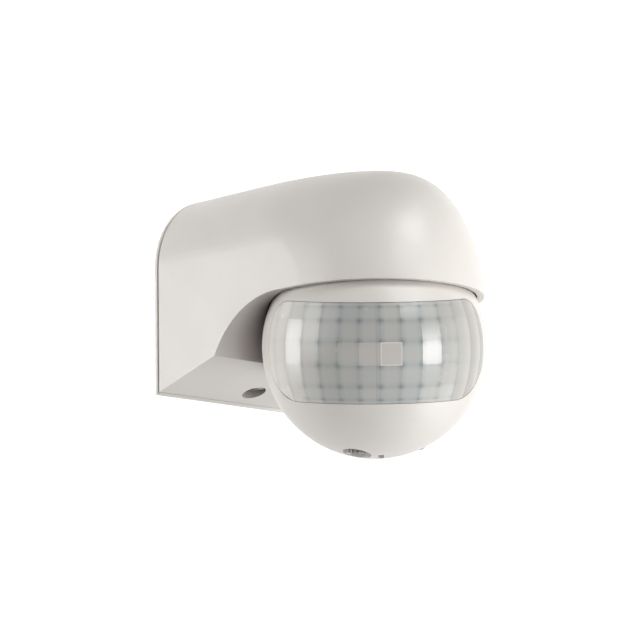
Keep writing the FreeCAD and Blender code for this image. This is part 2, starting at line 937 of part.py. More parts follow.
def drain_slot():
    """A short slot with round ends through the bottom of the ball."""
    x = dim.drain_across
    half = dim.drain_half
    yield block(x - half, x + half, -dim.drain_far, -dim.drain_near, *through_bottom)
    for out in (dim.drain_near, dim.drain_far):
        yield rod(half, *through_bottom, x, -out)


def stem_slot():
    """The slot in the ball's crown: the stem's width, and as long as the head tilts."""
    half = dim.stem_radius + dim.shaft_gap * 2
    middle = primitive("Cylinder", Radius=60, Height=half * 2, Angle=dim.tilt_travel)
    middle.Placement.Rotation = FreeCAD.Rotation(Vector(0, 1, 0), -90)
    ends = [rod(half, 15.0, 60.0)]
    tilted = rod(half, 0, 60.0)
    tilted.Placement.Rotation = FreeCAD.Rotation(cross_axis, -dim.tilt_travel.value)
    ends.append(tilted)
    sweep = cut(at(middle, half, 0, 0), ball(20.0))
    return fuse(sweep, *ends)


# ---------------------------------------------------------------- lens


def make_lens():
    """A moulded lens: a thin skin flush with the ball, a skirt and a flange behind it."""
    outer = dim.ball_radius
    shell_inside = outer - dim.ball_wall
    fit = -dim.lens_fit
    plug = lens_patch(shell_inside - 0.9, outer, fit)
    flange = lens_patch(shell_inside - 0.9, shell_inside - 0.05, fit + dim.lens_flange)
    hollow = lens_patch(28.0, outer - dim.lens_skin, fit - dim.lens_skin)
    keep("fresnel_lens", cut(fuse(plug, flange), hollow), head_pose)

    back = shell_inside - 0.95
    ring = lens_patch(back - 1.2, back, fit + dim.lens_flange)
    window = lens_patch(28.0, outer, fit - dim.lens_skin - 1.0)
    keep("lens_retainer", cut(ring, window), head_pose)


# ---------------------------------------------------------------- sensor inside the ball

adjuster_board_top = -dim.adjuster_board_drop + dim.board_thickness


def make_boards():
    board = new_body()
    sketch = new_sketch(board, "XZ_Plane", -dim.sensor_board_back - dim.board_thickness)
    low = adjuster_board_top + 2.3
    corners = [(-21, low), (21, low), (21, 8), (13, 19), (-13, 19), (-21, 8)]
    add_outline(sketch, corners)
    pad(board, sketch, dim.board_thickness)
    keep("sensor_board", board, head_pose)

    drop = -dim.adjuster_board_drop
    disc = rod(19.5, drop, adjuster_board_top)
    keep("adjuster_board", cut(disc, rod(3.5, -40.0, 0)), head_pose)

    back = dim.sensor_board_back + dim.board_thickness
    socket = cut(
        block(-5.0, 5.0, back, back + 7.0, 2.0, 8.0),
        block(-4.2, 4.2, back + 1.5, back + 8.0, 2.8, 7.2),
    )
    keep("lead_socket", socket, head_pose)

    chip = new_body()
    sketch = new_sketch(chip, "XZ_Plane", -back)
    add_outline(sketch, rectangle(-9.5, 9.5, -11.0, -4.6))
    pad(chip, sketch, 3.2, reverse=True)
    keep("control_chip", chip, head_pose)


def make_board_carrier():
    """The frame that joins both boards and both shells."""
    top = adjuster_board_top
    back = dim.sensor_board_back + dim.board_thickness + 0.05
    solids = [
        rod(18.5, top, top + 2.2),
        rod(3.3, -30.0 + 0.8, top + 1),
    ]
    tools = [rod(1.15, -40.0, -22.0)]
    for side in (-1, 1):
        x = side * shell_screw_x
        solids.append(block(x - 3.0, x + 3.0, back, back + 5.2, top + 1.0, 4.0))
        tools.append(rod_out(1.25, back - 1, back + 8.0, x, shell_screw_z))
    keep("board_carrier", cut(fuse(*solids), *tools), head_pose)

    screw = cross_screw(2.5, 1.5, 1.1, 7.4)
    screw.Placement.Base = Vector(0, 0, -dim.bottom_screw_seat.value)
    holder = group(screw)
    keep("bottom_screw", holder, head_pose)


def make_sensor_parts():
    face = dim.sensor_board_back
    flange = [(0, 0), (4.9, 0), (4.9, 0.5), (4.2, 0.5)]
    lip = [(4.2, 4.4), (3.9, 4.7), (3.3, 4.7), (3.3, 4.3), (0, 4.3)]
    can = turned_part(flange + lip)
    stand = FreeCAD.Placement(Vector(0, face.value, 0), FreeCAD.Rotation(cross_axis, 90))
    keep("pir_can", can, head_pose * stand)
    window = block(-2.3, 2.3, face - 4.8, face - 4.3, -1.8, 1.8)
    keep("pir_window", group(window), head_pose)

    cell = fuse(
        rod_out(2.5, face - 3.2, face - 1.2, -12.5, 7.0),
        block(-13.6, -11.4, face - 1.2, face, 6.7, 7.3),
    )
    keep("photocell", cell, head_pose)

    bulb = fuse(
        rod_out(1.5, face - 4.2, face - 1.0, 12.5, 7.0),
        at(ball(1.5), 12.5, face - 4.2, 7.0),
        rod_out(1.9, face - 1.6, face, 12.5, 7.0),
    )
    keep("indicator_led", bulb, head_pose)


knob_flutes = 12


def adjuster_knob(top, end):
    """A fluted knob with a cross in its tip, and above it the spindle up to end."""
    tip = -dim.knob_tip
    radius = dim.knob_radius
    chamfer = dim.knob_chamfer
    outline = [(0, tip), (radius - chamfer, tip), (radius, tip + chamfer), (radius, top), (0, top)]
    slot = dim.knob_slot / 2
    tools = [
        block(-slot, slot, -1.9, 1.9, tip - 1, tip + 1.2),
        block(-1.9, 1.9, -slot, slot, tip - 1, tip + 1.2),
    ]
    for index in range(knob_flutes):
        turn = 2 * math.pi * index / knob_flutes
        x = radius * math.cos(turn)
        y = radius * math.sin(turn)
        tools.append(rod(dim.knob_flute, tip - 1, top - 1.0, x, y))
    spindle = rod(dim.spindle_radius, top - 0.2, end)
    return cut(fuse(turned_part(outline), spindle), *tools)


def make_adjusters():
    top = -dim.adjuster_board_drop
    low = top - dim.adjuster_body
    bodies = []
    for name, x, y in adjuster_places():
        half = dim.adjuster_half
        case = block(x - half, x + half, y - half, y + half, low, top)
        bodies.append(cut(case, rod(1.9, low - 1, top - 0.6, x, y)))
    keep("adjuster_bodies", group(*bodies), head_pose)

    for name, x, y in adjuster_places():
        knob = adjuster_knob(low - 0.3, top - 1.0)
        place = Vector(x.value, y.value, 0)
        keep(name, knob, head_pose * FreeCAD.Placement(place, FreeCAD.Rotation()))


# ---------------------------------------------------------------- lead inside the sensor


def lead(points, bends):
    """A round lead along straight runs, joined by arcs with the given radii."""
    edges = []
    here = points[0]
    for index, radius in enumerate(bends, start=1):
        corner = points[index]
        back = (points[index - 1] - corner).normalize()
        ahead = (points[index + 1] - corner).normalize()
        half_turn = (math.pi - back.getAngle(ahead)) / 2
        setback = radius * math.tan(half_turn)
        start = corner + back * setback
        end = corner + ahead * setback
        inward = (back + ahead).normalize()
        middle = corner + inward * radius * (1 / math.cos(half_turn) - 1)
        edges.append(Part.makeLine(here, start))
        edges.append(Part.Arc(start, middle, end).toShape())
        here = end
    edges.append(Part.makeLine(here, points[-1]))
    path = Part.Wire(edges)
    circle = Part.makeCircle(dim.lead_radius.value, points[0], points[1] - points[0])
    item = doc.addObject("Part::Feature")
    item.Shape = path.makePipeShell([Part.Wire([circle])], True, False)
    return item


def make_leads():
    """One lead, in two runs: down the stem, and from its lower end to the sensor board."""
    axis = -dim.ball_reach.value
    face = -dim.power_board_out.value - dim.board_thickness.value
    top = dim.lead_top.value - dim.ball_drop.value
    route = [
        Vector(0, face, 22.6),
        Vector(0, face - 14.0, 22.6),
        Vector(0, axis + 16.0, top),
        Vector(0, axis, top),
        Vector(0, axis, 3.6),
    ]
    keep("arm_lead", lead(route, [16.0, 14.0, 3.0]))

    back = dim.sensor_board_back.value + dim.board_thickness.value
    route = [
        Vector(0, back + 1.6, 5.0),
        Vector(0, back + 11.5, 5.0),
        Vector(0, back + 11.5, 14.5),
        Vector(0, back - 1.0, 22.4),
    ]
    keep("head_lead", lead(route, [4.0, 5.0]), head_pose)


# ---------------------------------------------------------------- build, check and write

make_base_plate()
make_cable_grommet()
make_terminal_block()
make_hood_cover()
make_cover_screw()
make_power_board()
make_swivel_bracket()
make_swivel()
make_shells()
make_lens()
make_boards()
make_board_carrier()
make_sensor_parts()
make_adjusters()
make_leads()
doc.recompute()

for item in doc.Objects:
    if "Invalid" in item.State or "Error" in item.State:
        raise RuntimeError(f"{item.Name} ({item.Label}) failed: {item.State}")
for item in pieces:
    if item.Shape.isNull() or not item.Shape.isValid() or not item.Shape.Solids:
        raise RuntimeError(f"{item.Label} has no valid shape")

os.makedirs("parts", exist_ok=True)
for item in pieces:
    item.Shape.exportStep(f"parts/{item.Label}.step")
    print(f"{item.Label}: {len(item.Shape.Solids)} solid, {item.Shape.Volume:.1f} mm3")
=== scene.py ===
import json
import math

import bmesh
import bpy
from mathutils import Matrix, Vector


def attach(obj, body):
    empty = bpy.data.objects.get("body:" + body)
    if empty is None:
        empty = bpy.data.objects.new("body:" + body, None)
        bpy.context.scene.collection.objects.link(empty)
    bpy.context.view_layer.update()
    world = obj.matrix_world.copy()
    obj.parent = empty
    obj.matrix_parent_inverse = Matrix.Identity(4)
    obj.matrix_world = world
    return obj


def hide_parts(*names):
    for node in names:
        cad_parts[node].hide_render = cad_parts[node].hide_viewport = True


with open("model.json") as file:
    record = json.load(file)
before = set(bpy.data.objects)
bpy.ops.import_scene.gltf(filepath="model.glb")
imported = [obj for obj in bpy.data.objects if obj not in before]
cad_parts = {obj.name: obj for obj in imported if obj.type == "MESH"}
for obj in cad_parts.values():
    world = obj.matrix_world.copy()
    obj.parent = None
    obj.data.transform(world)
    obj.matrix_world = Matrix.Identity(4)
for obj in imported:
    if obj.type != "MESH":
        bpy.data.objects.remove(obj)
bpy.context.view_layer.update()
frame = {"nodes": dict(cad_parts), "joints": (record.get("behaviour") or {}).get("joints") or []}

# Wall mounted motion sensor with a ball head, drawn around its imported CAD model.
# Everything is in metres, in the frame of the CAD model: +Z up, wall at Y = 0.

MM = 0.001
scene = bpy.context.scene

joints = {joint["name"]: joint for joint in frame["joints"]}
ball_centre = Vector(joints["head_pan"]["pos_m"])

# The ball's own axes at rest: across, back and up. The lens looks along minus back.
REST_TILT = math.radians(14.0)
ball_across = Vector(joints["head_tilt"]["axis"]).normalized()
ball_turn = Matrix.Rotation(REST_TILT, 3, ball_across)
ball_back = ball_turn @ Vector((0, 0, 1)).cross(ball_across)
ball_up = ball_turn @ Vector((0, 0, 1))

BALL_RADIUS = 35.0 * MM


def ball_direction(longitude, latitude):
    """From the ball's centre, for angles in degrees measured from the lens's middle."""
    lon = math.radians(longitude)
    lat = math.radians(latitude)
    level = ball_across * math.sin(lon) - ball_back * math.cos(lon)
    return level * math.cos(lat) + ball_up * math.sin(lat)


# ---------------------------------------------------------------- camera

CAMERA_DISTANCE = 1.0
CAMERA_AZIMUTH = 46.2
CAMERA_ELEVATION = -10.1
CAMERA_ROLL = 0.86
CAMERA_LENS = 180.8
AIM_LEFT = 16.8 * MM
AIM_UP = 8.5 * MM


def camera_axes():
    """Ahead, right and up for a camera that looks straight at the ball."""
    azimuth = math.radians(CAMERA_AZIMUTH)
    elevation = math.radians(CAMERA_ELEVATION)
    level = math.cos(elevation)
    ahead = Vector((math.sin(azimuth) * level, math.cos(azimuth) * level, -math.sin(elevation)))
    right = ahead.cross(Vector((0, 0, 1))).normalized()
    return ahead, right, right.cross(ahead)


view_ahead, view_right, view_up = camera_axes()


def make_camera():
    """The ball is right of the middle of the picture and a little below it."""
    place = ball_centre - view_ahead * CAMERA_DISTANCE
    aim = ball_centre - view_right * AIM_LEFT + view_up * AIM_UP
    ahead = (aim - place).normalized()
    right = ahead.cross(Vector((0, 0, 1))).normalized()
    up = right.cross(ahead)
    roll = Matrix.Rotation(math.radians(CAMERA_ROLL), 3, ahead)
    data = bpy.data.cameras.new("camera")
    data.lens = CAMERA_LENS
    data.sensor_width = 36.0
    data.clip_start = 0.01
    camera = bpy.data.objects.new("camera", data)
    scene.collection.objects.link(camera)
    rotation = Matrix((roll @ right, roll @ up, -ahead)).transposed()
    camera.matrix_world = Matrix.Translation(place) @ rotation.to_4x4()
    scene.camera = camera


make_camera()


# ---------------------------------------------------------------- light and floor


LIGHT_DISTANCE = 0.9
SQUARE_BOX = (0.5, 0.5)


def area_light(name, direction, distance, size, radiance):
    """A soft box that faces the ball; the radiance is that of its surface."""
    data = bpy.data.lights.new(name, "AREA")
    data.shape = "RECTANGLE"
    data.size = size[0]
    data.size_y = size[1]
    data.energy = radiance * math.pi * size[0] * size[1]
    light = bpy.data.objects.new(name, data)
    scene.collection.objects.link(light)
    light.location = ball_centre + direction.normalized() * distance
    light.rotation_euler = (-direction).to_track_quat("-Z", "Y").to_euler()


def mirrored(longitude, latitude):
    """The direction that the lens shows to the camera at a place on it."""
    normal = ball_direction(longitude, latitude)
    to_camera = -view_ahead
    return 2 * normal.dot(to_camera) * normal - to_camera


def make_light():
    """Soft boxes round the object, their strengths fitted together to the photograph."""
    # two boxes, where the lens's facets mirror them to the camera
    area_light("left_strip", mirrored(-46.0, 2.2), 0.60, (0.14, 0.40), 8.6)
    area_light("right_strip", mirrored(28.0, 2.2), LIGHT_DISTANCE, (0.27, 0.43), 13.0)
    # overhead, mostly from the right
    overhead = view_up * 0.8 + view_right * 0.55 - view_ahead * 0.5
    area_light("overhead", overhead, LIGHT_DISTANCE, SQUARE_BOX, 5.9)
    # fill from the camera's left
    fill = -view_right - view_ahead * 0.5 + view_up * 0.3
    area_light("fill", fill, LIGHT_DISTANCE, (0.4, 0.6), 4.0)
    # weaker boxes behind the object's left and right edges
    edge_left = -view_right + view_ahead * 0.35 + view_up * 0.55
    area_light("edge_left", edge_left, LIGHT_DISTANCE, (0.4, 0.4), 0.7)
    edge_right = view_right + view_ahead * 0.2
    area_light("edge_right", edge_right, LIGHT_DISTANCE, (0.3, 0.6), 0.9)
    # boxes under the floor, which lets their light through, strongest from the right
    under_right = view_right * 0.8 - view_up * 0.75
    area_light("under_right", under_right, LIGHT_DISTANCE, SQUARE_BOX, 4.7)
    under_front = -view_up * 0.8 - view_ahead * 0.7
    area_light("under_front", under_front, LIGHT_DISTANCE, SQUARE_BOX, 2.0)
    area_light("under", -view_up, LIGHT_DISTANCE, SQUARE_BOX, 1.0)
    under_back = view_ahead * 0.7 - view_up * 0.7
    area_light("under_back", under_back, LIGHT_DISTANCE, SQUARE_BOX, 1.0)
    scene.view_settings.view_transform = "Standard"


TENT_BEFORE = 0.03
TENT_BEHIND = 1.2


def make_world():
    """A light tent: white behind the object and dimmer on the camera's side."""
    world = bpy.data.worlds.new("studio")
    scene.world = world
    world.use_nodes = True
    tree = world.node_tree
    background = tree.nodes["Background"]
    coordinates = tree.nodes.new("ShaderNodeTexCoord")
    along = tree.nodes.new("ShaderNodeVectorMath")
    along.operation = "DOT_PRODUCT"
    along.inputs[1].default_value = view_ahead
    tree.links.new(coordinates.outputs["Generated"], along.inputs[0])
    strength = tree.nodes.new("ShaderNodeMapRange")
    strength.interpolation_type = "SMOOTHSTEP"
    strength.inputs["From Min"].default_value = 0.2
    strength.inputs["From Max"].default_value = 0.95
    strength.inputs["To Min"].default_value = TENT_BEFORE
    strength.inputs["To Max"].default_value = TENT_BEHIND
    tree.links.new(along.outputs["Value"], strength.inputs["Value"])
    # rays from the camera see a white backdrop, whatever light it gives
    path = tree.nodes.new("ShaderNodeLightPath")
    seen = tree.nodes.new("ShaderNodeMath")
    seen.operation = "MAXIMUM"
    tree.links.new(path.outputs["Is Camera Ray"], seen.inputs[0])
    tree.links.new(strength.outputs["Result"], seen.inputs[1])
    tree.links.new(seen.outputs["Value"], background.inputs["Strength"])
    background.inputs["Color"].default_value = (1.0, 0.995, 0.985, 1.0)


make_light()
make_world()


# ---------------------------------------------------------------- materials


# the colour sockets of a Mix node
MIX_FIRST = 6
MIX_SECOND = 7
MIX_RESULT = 2

# painted shade darkens corners in full nearer to the wall than the second Y, and by a part before
# the first
WALL_FADE = (-60 * MM, -42 * MM)
SHADE_AWAY_FROM_WALL = 0.15


class Finish:
    """One material's node tree, built round its Principled shader."""

    def __init__(self, name):
        self.material = bpy.data.materials.new(name)
        self.material.use_nodes = True
        self.tree = self.material.node_tree
        self.shader = self.tree.nodes["Principled BSDF"]
        coordinates = self.tree.nodes.new("ShaderNodeTexCoord")
        self.place = coordinates.outputs["Object"]
        self.uv = coordinates.outputs["UV"]

    def put(self, socket, value):
        if isinstance(value, bpy.types.NodeSocket):
            self.tree.links.new(value, socket)
        elif isinstance(value, tuple) and len(value) == 3 and socket.type == "RGBA":
            socket.default_value = (*value, 1.0)
        else:
            socket.default_value = value

    def set(self, **sockets):
        for name, value in sockets.items():
            self.put(self.shader.inputs[name.replace("_", " ")], value)

    def node(self, kind, **settings):
        node = self.tree.nodes.new("ShaderNode" + kind)
        for name, value in settings.items():
            setattr(node, name, value)
        return node

    def math(self, operation, first, second=0.0):
        node = self.node("Math", operation=operation)
        self.put(node.inputs[0], first)
        self.put(node.inputs[1], second)
        return node.outputs["Value"]

    def span(self, value, from_low, from_high, low=0.0, high=1.0):
        """Maps a value from one range to another, and holds it at the ends."""
        node = self.node("MapRange")
        names = ("Value", "From Min", "From Max", "To Min", "To Max")
        for name, item in zip(names, (value, from_low, from_high, low, high)):
            self.put(node.inputs[name], item)
        return node.outputs["Result"]

    def stretched(self, stretch):
        node = self.node("Mapping")
        self.put(node.inputs["Vector"], self.place)
        node.inputs["Scale"].default_value = stretch
        return node.outputs["Vector"]

    def noise(self, size, detail=3.0, stretch=None):
        """Soft noise whose blobs are about the given size in metres."""
        node = self.node("TexNoise")
        self.put(node.inputs["Vector"], self.stretched(stretch) if stretch else self.place)
        node.inputs["Scale"].default_value = 1.0 / size
        node.inputs["Detail"].default_value = detail
        return node.outputs["Fac"]

    def cells(self, size, feature="F1", randomness=1.0):
        node = self.node("TexVoronoi", feature=feature)
        self.put(node.inputs["Vector"], self.place)
        node.inputs["Scale"].default_value = 1.0 / size
        node.inputs["Randomness"].default_value = randomness
        return node.outputs["Distance"]

    def mix(self, factor, first, second, blend="MIX"):
        node = self.node("Mix", data_type="RGBA", blend_type=blend)
        self.put(node.inputs["Factor"], factor)
        self.put(node.inputs[MIX_FIRST], first)
        self.put(node.inputs[MIX_SECOND], second)
        return node.outputs[MIX_RESULT]

    def paint_corner_shade(self, reach, least, most, tint):
        """Paints shade: multiplies in a tint where surfaces are close by, in full only near the
        wall.
        """
        corners = self.node("AmbientOcclusion", samples=12)
        corners.inputs["Distance"].default_value = reach
        base = self.shader.inputs["Base Color"]
        clean = base.links[0].from_socket
        split = self.node("SeparateXYZ")
        self.put(split.inputs[0], self.place)
        near_wall = self.span(split.outputs["Y"], *WALL_FADE, SHADE_AWAY_FROM_WALL, 1.0)
        closed = self.span(corners.outputs["AO"], least, most, 1.0, 0.0)
        share = self.math("MULTIPLY", closed, near_wall)
        self.put(base, self.mix(share, clean, tint, "MULTIPLY"))

    def bump(self, height, depth, under=None):
        """Raises the surface where the height is 1, by a depth in metres."""
        node = self.node("Bump")
        self.put(node.inputs["Height"], height)
        node.inputs["Distance"].default_value = depth
        if under is not None:
            self.put(node.inputs["Normal"], under)
        self.put(self.shader.inputs["Normal"], node.outputs["Normal"])
        return node.outputs["Normal"]


def shade(colour, factor):
    return tuple(channel * factor for channel in colour)


def moulded(name, colour, roughness, grain=0.25 * MM, depth=0.004 * MM, mottle=0.04):
    """Moulded plastic: fine grain, soft mottling, smudges in the gloss, a few scratches."""
    finish = Finish(name)
    tone = finish.noise(14 * MM, 2.0)
    clean = finish.mix(finish.span(tone, 0.3, 0.7), shade(colour, 1 - mottle), colour)
    dust = finish.span(finish.cells(2.6 * MM), 0.05, 0.08, 0.35, 0.0)
    spotted = finish.mix(dust, clean, shade(colour, 0.86))
    hairs = finish.noise(3 * MM, 4.0, (0.25, 1.0, 3.0))
    scratch = finish.span(hairs, 0.69, 0.73, 0.0, 0.5)
    finish.set(Base_Color=finish.mix(scratch, spotted, shade(colour, 0.93)))
    smudge = finish.noise(9 * MM, 5.0)
    finish.set(Roughness=finish.span(smudge, 0.3, 0.7, roughness - 0.06, roughness + 0.07))
    under = finish.bump(finish.noise(grain, 4.0), depth)
    finish.bump(scratch, -0.006 * MM, under)
    return finish


def metal(name, colour, roughness, brush=(1.0, 1.0, 0.15)):
    """Plated or drawn metal: fine tool marks, and tarnish in patches."""
    finish = Finish(name)
    tarnish = finish.span(finish.noise(1.6 * MM, 5.0), 0.45, 0.75)
    finish.set(Base_Color=finish.mix(tarnish, colour, shade(colour, 0.62)), Metallic=1.0)
    marks = finish.noise(0.22 * MM, 3.0, brush)
    finish.set(Roughness=finish.span(marks, 0.2, 0.8, roughness - 0.08, roughness + 0.14))
    finish.bump(marks, 0.006 * MM)
    return finish


def white_plastic():
    white = (0.712, 0.682, 0.642)
    finish = moulded("white_plastic", white, 0.40, 0.30 * MM, 0.006 * MM, 0.025)
    # painted shade in the corners and in the scoop beside the ball, in full near the wall
    finish.paint_corner_shade(11 * MM, 0.25, 0.82, (0.28, 0.23, 0.26))
    finish.set(Coat_Weight=0.12, Coat_Roughness=0.22, IOR=1.5)
    finish.set(Subsurface_Weight=0.06, Subsurface_Radius=(0.0012, 0.0010, 0.0007))
    finish.set(Subsurface_Scale=1.0)
    return finish


def circuit_board():
    """Solder resist over copper tracks, with a grid of tinned pads."""
    finish = Finish("circuit_board")
    resist = (0.012, 0.13, 0.05)
    tracks = finish.span(finish.cells(3.4 * MM, "DISTANCE_TO_EDGE"), 0.06, 0.09, 1.0, 0.0)
    green = finish.mix(finish.noise(5 * MM), resist, shade(resist, 0.75))
    tracked = finish.mix(tracks, green, (0.03, 0.22, 0.09))
    pads = finish.span(finish.cells(2.54 * MM, randomness=0.0), 0.22, 0.26, 1.0, 0.0)
    some = finish.span(finish.noise(6 * MM), 0.52, 0.54)
    tinned = finish.math("MULTIPLY", pads, some)
    finish.set(Base_Color=finish.mix(tinned, tracked, (0.62, 0.60, 0.57)), Metallic=tinned)
    finish.set(Roughness=finish.span(finish.noise(1.2 * MM), 0.3, 0.7, 0.22, 0.38))
    finish.bump(finish.math("ADD", tracks, pads), 0.03 * MM)
    return finish


def rubber():
    finish = moulded("grommet_rubber", (0.035, 0.034, 0.033), 0.68, 0.4 * MM, 0.02 * MM, 0.3)
    finish.set(Sheen_Weight=0.15)
    return finish


def fuse_glass():
    """Bright brushed metal under a clear coat, for the fuse's tube and caps together."""
    finish = metal("fuse_glass", (0.62, 0.60, 0.56), 0.25)
    finish.set(Coat_Weight=1.0, Coat_Roughness=0.03)
    return finish


def clear_resin(name, colour):
    finish = Finish(name)
    cloud = finish.span(finish.noise(0.8 * MM), 0.3, 0.7)
    finish.set(Base_Color=finish.mix(cloud, colour, shade(colour, 0.8)))
    finish.set(Roughness=finish.span(cloud, 0.0, 1.0, 0.06, 0.14), Transmission_Weight=0.5)
    finish.bump(finish.noise(0.3 * MM), 0.002 * MM)
    return finish


def photocell_body():
    """A sensitive face with a meandering track, under clear resin."""
    finish = Finish("photocell_body")
    wave = finish.node("TexWave")
    finish.put(wave.inputs["Vector"], finish.place)
    wave.inputs["Scale"].default_value = 450.0
    wave.inputs["Distortion"].default_value = 1.5
    track = finish.span(wave.outputs["Fac"], 0.45, 0.55)
    finish.set(Base_Color=finish.mix(track, (0.42, 0.10, 0.03), (0.62, 0.50, 0.36)))
    finish.set(Roughness=finish.span(finish.noise(0.5 * MM), 0.3, 0.7, 0.25, 0.4))
    finish.set(Coat_Weight=0.8, Coat_Roughness=0.05)
    finish.bump(track, 0.02 * MM)
    return finish


MATERIALS = {
    "white_plastic": white_plastic,
    "circuit_board": circuit_board,
    "grommet_rubber": rubber,
    "fuse_glass": fuse_glass,
    "photocell_body": photocell_body,
    "terminal_plastic": lambda: moulded("terminal_plastic", (0.10, 0.11, 0.12), 0.45),
    "relay_case": lambda: moulded("relay_case", (0.02, 0.07, 0.20), 0.32),
    "capacitor_case": lambda: moulded("capacitor_case", (0.42, 0.33, 0.06), 0.36),
    "capacitor_sleeve": lambda: moulded("capacitor_sleeve", (0.015, 0.02, 0.035), 0.3),
    "inner_plastic": lambda: moulded("inner_plastic", (0.62, 0.61, 0.58), 0.5, 0.5 * MM),
    "socket_plastic": lambda: moulded("socket_plastic", (0.70, 0.66, 0.55), 0.42),
    "chip_plastic": lambda: moulded("chip_plastic", (0.018, 0.018, 0.02), 0.55, 0.12 * MM),
    "adjuster_case": lambda: moulded("adjuster_case", (0.30, 0.31, 0.31), 0.42),
    "knob_plastic": lambda: moulded("knob_plastic", (0.30, 0.28, 0.275), 0.36, 0.2 * MM),
    "lead_sleeve": lambda: moulded("lead_sleeve", (0.05, 0.05, 0.055), 0.5, 0.6 * MM),
    "clamp_brass": lambda: metal("clamp_brass", (0.78, 0.57, 0.28), 0.32),
    "plated_screw": lambda: metal("plated_screw", (0.66, 0.65, 0.62), 0.30),
    "spring_steel": lambda: metal("spring_steel", (0.50, 0.50, 0.51), 0.34, (1.0, 1.0, 1.0)),
    "sensor_can": lambda: metal("sensor_can", (0.72, 0.68, 0.58), 0.24),
    "sensor_filter": lambda: clear_resin("sensor_filter", (0.06, 0.05, 0.055)),
    "led_body": lambda: clear_resin("led_body", (0.72, 0.06, 0.04)),
}


def paint_nodes():
    made = {}
    for node in frame["nodes"].values():
        for holder in node.material_slots:
            slot = holder.material.name
            if slot in MATERIALS:
                if slot not in made:
                    made[slot] = MATERIALS[slot]().material
                holder.material = made[slot]


paint_nodes()


# ---------------------------------------------------------------- edges of the mouldings

EDGE_RADIUS = {
    "hood_cover": 0.35 * MM,
    "base_plate": 0.20 * MM,
    "front_shell": 0.15 * MM,
    "rear_shell": 0.15 * MM,
}
SHARP_ANGLE = math.radians(32.0)


def soften_edges():
    """Rounds the moulded edges, so that each one catches the light."""
    for name, radius in EDGE_RADIUS.items():
        node = frame["nodes"][name]
        weld = node.modifiers.new("weld", "WELD")
        weld.merge_threshold = 0.002 * MM
        rounding = node.modifiers.new("rounding", "BEVEL")
        rounding.width = radius
        rounding.segments = 2
        rounding.limit_method = "ANGLE"
        rounding.angle_limit = SHARP_ANGLE
        node.modifiers.new("normals", "WEIGHTED_NORMAL")


soften_edges()


# ---------------------------------------------------------------- lens

LENS_LATITUDE = 26.1
LENS_LONGITUDE = 71.0
LENS_GAP = 0.12 * MM
LENS_SKIN = 1.0 * MM
TOP_CORNER = 6.5 * MM
BOTTOM_CORNER = 11.0 * MM
COLUMN_PITCH = 10.8
COLUMN_MIDDLE = 0.9
COLUMNS = 12
ROW_EDGES = (-24.0, -16.8, -5.75, 5.75, 16.8, 24.0)
FACET_STEPS = 8
FLAT_ACROSS = 0.85
FLAT_UP = 0.4
CELL_MARGIN = 0.001

first_column = COLUMN_MIDDLE - COLUMNS / 2 * COLUMN_PITCH
column_edges = [first_column + COLUMN_PITCH * index for index in range(COLUMNS + 1)]


def cell_of(angle, edges):
    """The facet's number along one way, and how far across it the angle is."""
    inside = min(max(angle, edges[0]), edges[-1])
    index = 0
    while index < len(edges) - 2 and inside > edges[index + 1]:
        index += 1
    width = edges[index + 1] - edges[index]
    return index, (inside - edges[index]) / width, width


def sunk(angle, edges):
    """How far a flat facet lies inside the sphere, as a part of the radius."""
    index, part, width = cell_of(angle, edges)
    half = math.radians(width / 2)
    return 1 - math.cos(half) / math.cos(half * (2 * part - 1))


def lens_point(longitude, latitude):
    """Facets inside the grid of cells; a smooth border from there to the outline."""
    beyond_row = max(0.0, abs(latitude) - ROW_EDGES[-1]) / (LENS_LATITUDE - ROW_EDGES[-1])
    end = max(column_edges[0] - longitude, longitude - column_edges[-1], 0.0)
    beyond_column = end / (LENS_LONGITUDE + COLUMN_MIDDLE - column_edges[-1])
    border = max(0.0, 1 - max(beyond_row, beyond_column))
    facet = FLAT_ACROSS * sunk(longitude, column_edges) + FLAT_UP * sunk(latitude, ROW_EDGES)
    radius = BALL_RADIUS * (1 - border * facet)
    return ball_centre + ball_direction(longitude, latitude) * radius


def lens_outline():
    """The lens's outline in degrees, anticlockwise: level edges and rounded corners."""
    level = BALL_RADIUS * math.sin(math.radians(LENS_LATITUDE)) - LENS_GAP
    steps = 10
    right = []
    for sign, radius in ((-1, BOTTOM_CORNER), (1, TOP_CORNER)):
        radius -= LENS_GAP
        turns = [index / steps * math.pi / 2 for index in range(steps + 1)]
        if sign > 0:
            turns.reverse()
        for turn in turns:
            height = sign * (level - radius + radius * math.cos(turn))
            inset = LENS_GAP + radius - radius * math.sin(turn)
            latitude = math.asin(height / BALL_RADIUS)
            away = math.asin(inset / (BALL_RADIUS * math.cos(latitude)))
            right.append((LENS_LONGITUDE - math.degrees(away), math.degrees(latitude)))
    left = [(-longitude, latitude) for longitude, latitude in reversed(right)]
    return right + left


def clipped(polygon, start, end):
    """The part of a polygon that lies left of the line from start to end."""

    def side(point):
        ahead = (end[0] - start[0], end[1] - start[1])
        return ahead[0] * (point[1] - start[1]) - ahead[1] * (point[0] - start[0])

    kept = []
    for index, here in enumerate(polygon):
        before = polygon[index - 1]
        side_here = side(here)
        side_before = side(before)
        if (side_here > 0) != (side_before > 0):
            part = side_before / (side_before - side_here)
            kept.append(tuple(b + (h - b) * part for b, h in zip(before, here)))
        if side_here > 0:
            kept.append(here)
    return kept


def divided(edges, steps):
    """Values from the first edge to the last, with a number of steps in each cell."""
    values = []
    for low, high in zip(edges, edges[1:]):
        values += [low + (high - low) * step / steps for step in range(steps)]
    return values + [edges[-1]]


